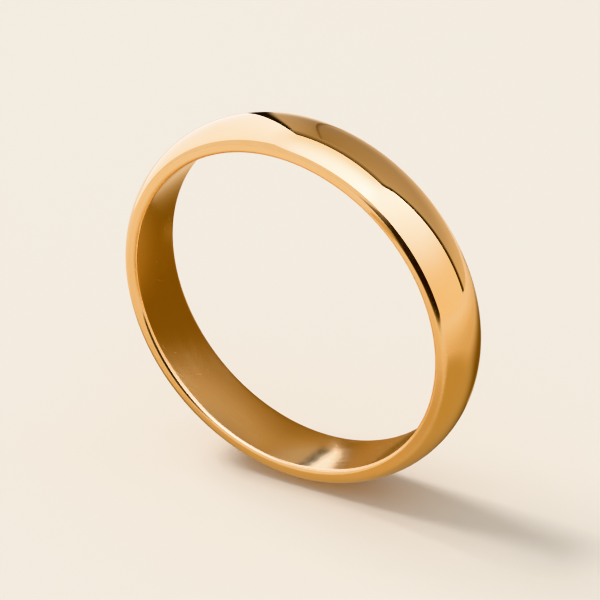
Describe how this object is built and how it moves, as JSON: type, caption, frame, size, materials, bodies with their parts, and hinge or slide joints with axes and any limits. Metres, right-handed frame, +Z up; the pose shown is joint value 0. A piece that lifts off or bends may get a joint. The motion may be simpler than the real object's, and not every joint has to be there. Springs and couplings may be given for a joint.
{
  "type": "wedding band",
  "caption": "Plain polished gold wedding band with a domed outside, narrow flat side walls, eased inner edges and a smooth round finger hole.",
  "frame": {"origin": "middle of the finger hole, halfway between the two side walls", "axes": "+Y along the finger hole's axis, +Z up, +X across the band; the band stands on edge"},
  "size_m": [0.0198, 0.0036, 0.0198],
  "materials": {
    "gold": "mirror polished 18 ct yellow gold"
  },
  "bodies": {
    "root": {"band": "gold"}
  },
  "joints": []
}
